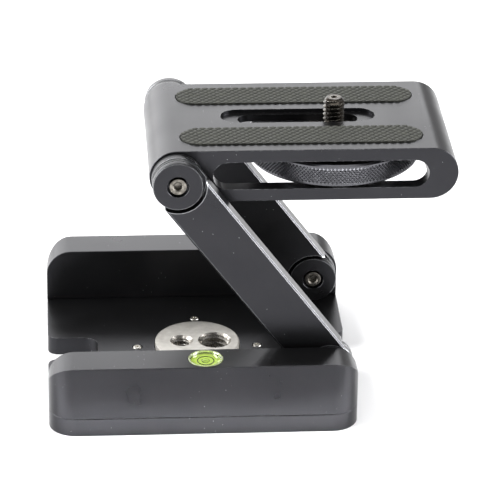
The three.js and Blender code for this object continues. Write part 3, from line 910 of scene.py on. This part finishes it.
# rows of studs, every second one turned by half a stud
def knurlRows(radius, height):
    count = wheel["knurlsRound"]
    step = wheel["knurlHeight"] / 2
    rows = int((height - 2 * wheel["edge"] - 2 * step) / step) + 1
    first = -height / 2 - step * (rows - 1) / 2
    cell = knurlCell(radius)
    bpy.ops.mesh.spin(steps=count - 1, dupli=True, angle=2 * math.pi * (count - 1) / count,
                      center=(0, 0, 0), axis=(0, 0, 1))
    bpy.ops.object.mode_set(mode="OBJECT")
    rings = []
    for row in range(rows):
        ring = copyOf(cell, f"knurlRow{row}")
        ring.rotation_euler.z = math.pi / count * (row % 2)
        ring.location.z = (first + step * row) * mm
        rings.append(settle(ring))
    bpy.data.objects.remove(cell)
    return rings


def makeWheel():
    radius, height = roundSize("knurled_wheel")
    body = wheelBody(radius, height)
    joinInto(body, knurlRows(radius, height))
    stand(body, endOf("knurled_wheel"))
    finishPiece(body, "thumbscrew", knurlAnodised, ["knurled_wheel"], angle=24, flat=False)


makeWheel()
redress("clamp_washer", wheelFaceSteel)


# Camera stud: threaded shank with a cone and a hollow at its end, on a head with a hex socket

stud = {
    "minor": 2.52, "major": 3.16, "pitch": 1.27, "threadStart": 1.0,
    "taper": 1.25, "taperShares": (0.75, 0.9), "taperDrops": (0.12, 0.02), "envelopeSpare": 0.02,
    "envelopeStart": 0.5, "hollow": 0.95, "hollowShare": 0.6, "hollowDepth": 0.8, "hollowEdge": 0.1,
    "headRadius": 5.0, "headHeight": 2.2, "headEdge": 0.25, "neckSpare": 0.2,
    "socket": 2.4, "socketDepth": 1.5,
}


def studShank(length):
    major, taper, spare = stud["major"], stud["taper"], stud["envelopeSpare"]
    shank = threadBody("cameraStud", stud["minor"], major, stud["pitch"],
                       -length + stud["threadStart"], 0.0, steps=48)
    carve(shank, turnPiece("envelope", [
        (major + spare, -length + stud["envelopeStart"]),
        (major + spare, -taper),
        (major - taper * stud["taperShares"][0], -stud["taperDrops"][0]),
        (major - taper * stud["taperShares"][1], -stud["taperDrops"][1]),
    ], sides=64), "INTERSECT")
    return shank


def studHead(length):
    radius, edge = stud["headRadius"], stud["headEdge"]
    head = turnPiece("studHead", [
        (radius - edge, -length), (radius, -length + edge),
        (radius, -length + stud["headHeight"]),
        (stud["minor"] - stud["neckSpare"], -length + stud["headHeight"]),
    ], sides=64)
    return carve(head, turnPiece("socket", [
        (stud["socket"], -length - cutterRise), (stud["socket"], -length + stud["socketDepth"]),
    ], sides=6))


def makeStud():
    length = roundSize("camera_stud")[1]
    body = studShank(length)
    head = studHead(length)
    carve(body, turnPiece("endHollow", [
        (stud["hollow"] * stud["hollowShare"], -stud["hollowDepth"]),
        (stud["hollow"], -stud["hollowEdge"]), (stud["hollow"], cutterRise),
    ], sides=32))
    joinInto(body, [head])
    finishPiece(stand(body, endOf("camera_stud")), "thumbscrew", studSteel, ["camera_stud"])


makeStud()
print("wheel and stud done")


# Grip pads: a slab with round ends, under a field of softened diamonds that its outline trims

pad = {
    "studPitchX": 2.31, "studPitchY": 2.27, "relief": 0.27, "edge": 0.15, "endSteps": 20, "endShare": 0.999,
    "studRoot": 0.1, "studShare": 0.95, "drawnIn": 0.726, "trim": 0.3, "sideSpare": 0.6, "endSpare": 0.5,
    # how far each ring of a stud rises, as a share of the relief, and its size against the last ring's
    "riseShares": ((0.6, 0.8), (0.32, 0.66), (0.08, 0.5)), "rootShrink": 0.96,
}


def roundedSlab(name, node, low, high):
    startFresh()
    boxLow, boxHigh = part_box(node)
    size = boxHigh - boxLow
    middle = (boxLow + boxHigh) / 2
    bpy.ops.mesh.primitive_cube_add(size=1, location=(middle.x, middle.y, (low + high) / 2),
                                    scale=(size.x, size.y, high - low))
    slab = justAdded(name)
    settle(slab)
    openAll(slab)
    upright = (high - low) / 2
    pick(slab, "EDGE", lambda edge: abs(edge.verts[0].co.z - edge.verts[1].co.z) > upright)
    bpy.ops.mesh.bevel(offset=size.y / 2 * pad["endShare"], offset_type="OFFSET", segments=pad["endSteps"],
                       affect="EDGES")
    bpy.ops.object.mode_set(mode="OBJECT")
    return slab


# a softened diamond: every second corner of the eight is drawn in, so the studs don't touch
def gripStud(width, depth, relief):
    startFresh()
    bpy.ops.mesh.primitive_circle_add(vertices=8, radius=pad["studShare"], fill_type="NGON")
    cell = justAdded("gripStud")
    openAll(cell)
    offAxis = pad["studShare"] / 2
    pick(cell, "VERT", lambda vertex: min(abs(vertex.co.x), abs(vertex.co.y)) > offAxis)
    bpy.ops.transform.resize(value=(pad["drawnIn"], pad["drawnIn"], 1), center_override=(0, 0, 0))
    bpy.ops.mesh.select_all(action="SELECT")
    bpy.ops.transform.resize(value=(width / 2 * mm, depth / 2 * mm, 1), center_override=(0, 0, 0))
    bpy.ops.transform.translate(value=(0, 0, -pad["studRoot"] * mm))
    rings = [(pad["studRoot"], pad["rootShrink"])]
    rings += [(share * relief, shrink) for share, shrink in pad["riseShares"]]
    for rise, shrink in rings:
        bpy.ops.mesh.extrude_region_move(TRANSFORM_OT_translate={"value": (0, 0, rise * mm)})
        bpy.ops.transform.resize(value=(shrink, shrink, 1), center_override=(0, 0, 0))
    closeOutwards()
    return cell


# where the studs stand about the pad's middle, in mm, in rows half a stud apart
def studPlaces(length, width):
    columns = int(length / pad["studPitchX"] / 2) + 1
    lines = int(width / pad["studPitchY"]) + 2
    straight = (length - width) / 2
    places = []
    for line in range(-lines, lines + 1):
        for column in range(-columns, columns + 1):
            x = (column + 0.5 * (line % 2)) * pad["studPitchX"]
            y = line * 0.5 * pad["studPitchY"]
            away = math.hypot(max(abs(x) - straight, 0), y)
            if abs(y) <= width / 2 + pad["sideSpare"] and away <= width / 2 + pad["endSpare"]:
                places.append((x, y))
    return places


def makePad(node, name):
    low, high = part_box(node)
    middle = (low + high) / 2
    deck = high.z - pad["relief"] * mm
    slab = roundedSlab(name, node, low.z, deck)
    openAll(slab)
    pick(slab, "FACE", lambda face: face.normal.z > 0.9)    # the top
    bpy.ops.mesh.inset(thickness=pad["edge"] * mm)
    bpy.ops.object.mode_set(mode="OBJECT")
    cell = gripStud(pad["studPitchX"], pad["studPitchY"], pad["relief"])
    studs = []
    for x, y in studPlaces((high.x - low.x) / mm, (high.y - low.y) / mm):
        twin = copyOf(cell, "gripStud")
        twin.location = (middle.x + x * mm, middle.y + y * mm, deck)
        studs.append(twin)
    bpy.data.objects.remove(cell)
    field = settle(joinInto(studs[0], studs[1:]))
    outline = roundedSlab("outline", node, deck - pad["trim"] * mm, high.z + pad["trim"] * mm)
    carve(field, outline, "INTERSECT")
    joinInto(slab, [field])
    finishPiece(slab, "plate", padRubber, [node], angle=40, flat=False)


makePad("front_grip_pad", "frontGripPad")
makePad("rear_grip_pad", "rearGripPad")
print("grip pads done")


# Floor, light and camera; places and sizes of the room are in metres, power in watts

studio = {
    "floor": "#f4f4f5", "mottle": "#f7f7f8", "mottleScale": 6.0, "floorRoughness": 0.6, "floorSpecular": 0.2,
    "floorSize": 8.0, "world": "#ffffff", "worldStrength": 0.5, "aim": (0, 0, 0.04),
    "lights": {
        "back": {"place": (-0.5, 1.1, 0.43), "size": (2.2, 0.8), "power": 15.7},
        "left": {"place": (-1.1, -0.1, 0.5), "size": (0.9, 0.9), "power": 28.0},
        "right": {"place": (1.2, -0.2, 0.45), "size": (0.8, 0.8), "power": 22.0},
        "top": {"place": (0.0, -0.1, 1.3), "size": (1.0, 1.0), "power": 6.0},
        # a narrow strip of light on the floor, right before the base, which its front mirrors
        "pool": {"place": (0.0, -0.054, 0.5), "size": (0.36, 0.008), "power": 0.085, "spread": 2.0,
                 "aim": (0, -0.054, 0)},
    },
}


def makeFloor():
    startFresh()
    bpy.ops.mesh.primitive_plane_add(size=studio["floorSize"], location=(0, 0, 0))
    floor = justAdded("paleFloor")
    material, tree = newMaterial("palePaper")
    mottle = addNode(tree, "ShaderNodeTexNoise", {
        "Vector": objectPlace(tree), "Scale": studio["mottleScale"], "Detail": 3.0})
    mottled = addNode(tree, "ShaderNodeMapRange", {"Value": mottle, **noiseSpan})
    floor.data.materials.append(finishMaterial(material, {
        "Base Color": layered(tree, studio["floor"], (mottled, studio["mottle"])),
        "Roughness": studio["floorRoughness"], "Specular IOR Level": studio["floorSpecular"],
    }))


def makeLights():
    world = bpy.data.worlds.new("paleRoom")
    bpy.context.scene.world = world
    world.use_nodes = True
    background = world.node_tree.nodes["Background"]
    background.inputs["Color"].default_value = linear(studio["world"])
    background.inputs["Strength"].default_value = studio["worldStrength"]
    for name, light in studio["lights"].items():
        lamp = bpy.data.lights.new(name + "Softbox", "AREA")
        lamp.shape = "RECTANGLE"
        lamp.size, lamp.size_y = light["size"]
        lamp.energy = light["power"]
        if "spread" in light:
            lamp.spread = math.radians(light["spread"])
        holder = bpy.data.objects.new(name + "Softbox", lamp)
        bpy.context.scene.collection.objects.link(holder)
        holder.location = light["place"]
        aim = Vector(light.get("aim", studio["aim"])) - Vector(light["place"])
        holder.rotation_euler = aim.to_track_quat("-Z", "Y").to_euler()


# the photograph's camera: its place in mm, its turns in degrees, its focal length and picture in pixels
view = {
    "place": (-44.8, -829.2, 445.5), "yaw": 4.185, "pitch": 26.09, "roll": 0.884,
    "focal": 3041.6, "picture": 500, "sensor": 36.0, "clip": (0.05, 50),
}


def makeCamera():
    yaw, pitch, roll = (math.radians(view[key]) for key in ("yaw", "pitch", "roll"))
    forward = Vector((math.sin(yaw) * math.cos(pitch), math.cos(yaw) * math.cos(pitch), -math.sin(pitch)))
    right = Vector((math.cos(yaw), -math.sin(yaw), 0))
    up = right.cross(forward)
    turnedRight = right * math.cos(roll) + up * math.sin(roll)
    turnedUp = up * math.cos(roll) - right * math.sin(roll)
    camera = bpy.data.objects.new("camera", bpy.data.cameras.new("camera"))
    bpy.context.scene.collection.objects.link(camera)
    rotation = Matrix((turnedRight, turnedUp, -forward)).transposed().to_4x4()
    camera.matrix_world = Matrix.Translation(Vector(view["place"]) * mm) @ rotation
    camera.data.sensor_width = view["sensor"]
    camera.data.lens = view["sensor"] * view["focal"] / view["picture"]
    camera.data.clip_start, camera.data.clip_end = view["clip"]
    bpy.context.scene.camera = camera


makeFloor()
makeLights()
makeCamera()
bpy.context.scene.view_settings.view_transform = "Standard"
print("stage done")
